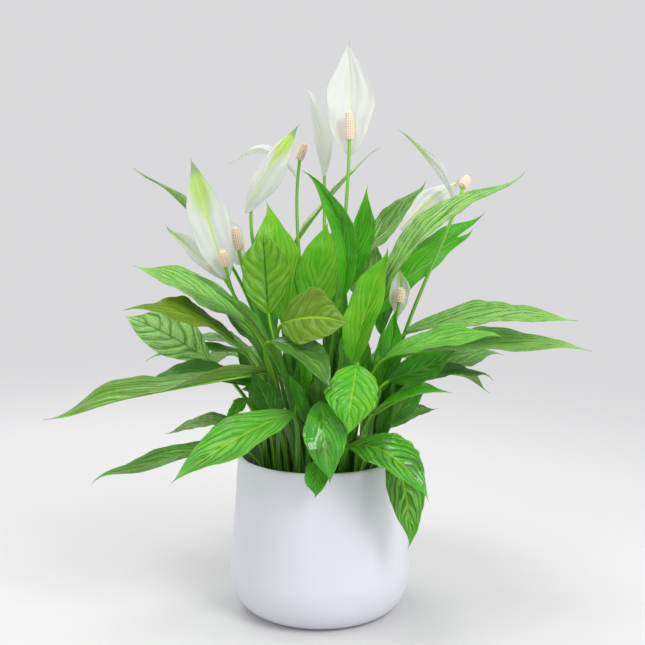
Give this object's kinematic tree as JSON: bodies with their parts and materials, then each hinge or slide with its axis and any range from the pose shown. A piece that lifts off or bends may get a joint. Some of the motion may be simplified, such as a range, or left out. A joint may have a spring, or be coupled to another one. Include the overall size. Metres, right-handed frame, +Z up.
{
  "type": "potted peace lily",
  "caption": "Leafy house plant with long arching glossy leaves and white hooded flowers, growing in soil in a plastic liner inside a round tapered ceramic pot.",
  "frame": {"origin": "centre of the ceramic pot's flat underside, on the surface it stands on", "axes": "+Z up along the pot's axis, -Y towards the front, where the tallest flower looks, and +X to the right as seen from the front"},
  "size_m": [0.475, 0.316, 0.529],
  "materials": {
    "ceramic": "smooth matte white glaze",
    "grow_plastic": "thin moulded grey plastic",
    "soil": "damp crumbly potting mix",
    "leaf": "glossy pleated green leaf with a paler matte underside",
    "flower_stalk": "smooth fresh green stalk, and the cream spike of tiny raised florets on its end",
    "hood": "thin white translucent hood with a green midrib and tip"
  },
  "bodies": {
    "root": {"ceramic_pot": "ceramic", "growing_pot": "grow_plastic", "soil": "soil", "leaf_01": "leaf", "leaf_02": "leaf", "leaf_03": "leaf", "leaf_04": "leaf", "leaf_05": "leaf", "leaf_06": "leaf", "leaf_07": "leaf", "leaf_08": "leaf", "leaf_09": "leaf", "leaf_10": "leaf", "leaf_11": "leaf", "leaf_12": "leaf", "leaf_13": "leaf", "leaf_14": "leaf", "leaf_15": "leaf", "leaf_16": "leaf", "leaf_17": "leaf", "leaf_18": "leaf", "leaf_19": "leaf", "leaf_20": "leaf", "leaf_21": "leaf", "leaf_22": "leaf", "leaf_23": "leaf", "leaf_24": "leaf", "leaf_25": "leaf", "leaf_26": "leaf", "leaf_27": "leaf", "leaf_28": "leaf", "leaf_29": "leaf", "leaf_30": "leaf", "leaf_31": "leaf", "leaf_32": "leaf", "leaf_33": "leaf", "leaf_34": "leaf", "leaf_35": "leaf", "leaf_36": "leaf", "leaf_37": "leaf", "flower_stalk_01": "flower_stalk", "flower_stalk_02": "flower_stalk", "flower_stalk_03": "flower_stalk", "flower_stalk_04": "flower_stalk", "flower_stalk_05": "flower_stalk", "flower_stalk_06": "flower_stalk", "flower_stalk_07": "flower_stalk", "flower_stalk_08": "flower_stalk", "flower_stalk_09": "flower_stalk", "flower_stalk_10": "flower_stalk", "flower_hood_01": "hood", "flower_hood_02": "hood", "flower_hood_03": "hood", "flower_hood_04": "hood", "flower_hood_05": "hood", "flower_hood_06": "hood", "flower_hood_07": "hood", "flower_hood_08": "hood", "flower_hood_09": "hood", "flower_hood_10": "hood"}
  },
  "joints": []
}
